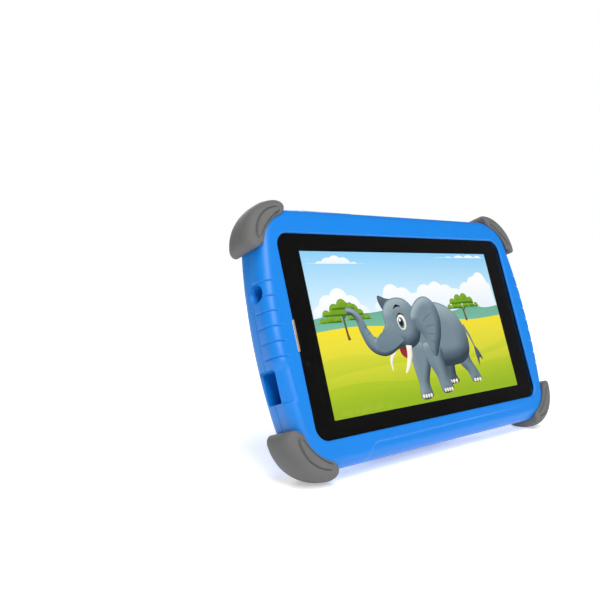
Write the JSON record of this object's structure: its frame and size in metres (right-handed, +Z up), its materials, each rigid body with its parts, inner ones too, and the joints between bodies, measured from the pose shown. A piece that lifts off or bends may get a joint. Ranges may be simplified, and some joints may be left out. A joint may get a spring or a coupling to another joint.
{
  "type": "toy tablet",
  "caption": "Children's tablet in a blue elephant-themed bumper case with grey rubber corners and a fold-out rear stand.",
  "frame": {"origin": "on the surface it stands on, under the middle of the object's bounding box", "axes": "+X to the right seen facing the screen, +Y away from the viewer towards the stand, +Z up; millimetre STEP, metre frame"},
  "size_m": [0.219, 0.0626, 0.1349],
  "materials": {
    "case_blue": "satin moulded soft plastic",
    "stand_blue": "satin moulded hard plastic",
    "bumper_grey": "fine matt rubber",
    "insert_white": "smooth white plastic",
    "eye_black": "smooth black plastic",
    "cover_glass": "clear polished cover glass",
    "screen_mask": "black printed border",
    "screen": "lit display showing a picture of an elephant in a field",
    "steel": "plated steel",
    "tablet_plastic": "fine-textured black plastic",
    "camera_lens": "coated dark lens",
    "circuit_board": "green solder mask",
    "battery_foil": "foil pouch",
    "copper_flex": "amber flexible circuit",
    "lead_red": "wire insulation",
    "lead_black": "wire insulation"
  },
  "bodies": {
    "case": {"front_frame": "case_blue", "rear_shell": "case_blue", "button_strip": "case_blue", "stand_bracket": "case_blue", "pin_cap_left": "case_blue", "pin_cap_right": "case_blue", "bumper_top_left": "bumper_grey", "bumper_top_right": "bumper_grey", "bumper_bottom_left": "bumper_grey", "bumper_bottom_right": "bumper_grey", "eye_white": "insert_white", "eye_glint": "insert_white", "tusk": "insert_white", "ear_patch": "insert_white", "hinge_washer_left": "insert_white", "hinge_washer_right": "insert_white", "eye_pupil": "eye_black", "cover_glass": "cover_glass", "screen_mask": "screen_mask", "lcd_panel": "screen", "stand_pin": "steel", "bracket_screw_left": "steel", "bracket_screw_right": "steel", "mid_plate": "steel", "shield_can": "steel", "card_socket": "steel", "usb_socket": "steel", "earpiece": "steel", "microphone": "steel", "power_switch": "steel", "volume_up_switch": "steel", "volume_down_switch": "steel", "plate_screw_1": "steel", "plate_screw_2": "steel", "plate_screw_3": "steel", "plate_screw_4": "steel", "tablet_back_cover": "tablet_plastic", "audio_jack": "tablet_plastic", "speaker": "tablet_plastic", "rear_camera": "tablet_plastic", "front_camera": "camera_lens", "rear_camera_lens": "camera_lens", "main_board": "circuit_board", "key_board": "circuit_board", "battery": "battery_foil", "display_ribbon": "copper_flex", "wifi_antenna": "copper_flex", "battery_lead_red": "lead_red", "battery_lead_black": "lead_black"},
    "stand": {"stand": "stand_blue"},
    "power_button": {"power_button": "case_blue", "power_key": "tablet_plastic"},
    "volume_rocker": {"volume_rocker": "case_blue", "volume_key": "tablet_plastic"}
  },
  "joints": [
    {"name": "stand_hinge", "type": "hinge", "parent": "case", "child": "stand", "pos_m": [0, 0.0135, 0.0663], "axis": [1, 0, 0], "range_deg": [-32, 0]},
    {"name": "power_press", "type": "slide", "parent": "case", "child": "power_button", "axis": [0, -0.3173, -0.9483], "range_m": [0, 0.0006], "stiffness_N_per_m": 800},
    {"name": "volume_rock", "type": "hinge", "parent": "case", "child": "volume_rocker", "pos_m": [-0.042, 0.02147, 0.12638], "axis": [0, -0.9483, 0.3173], "range_deg": [-3, 3], "stiffness_Nm_per_rad": 0.1}
  ]
}
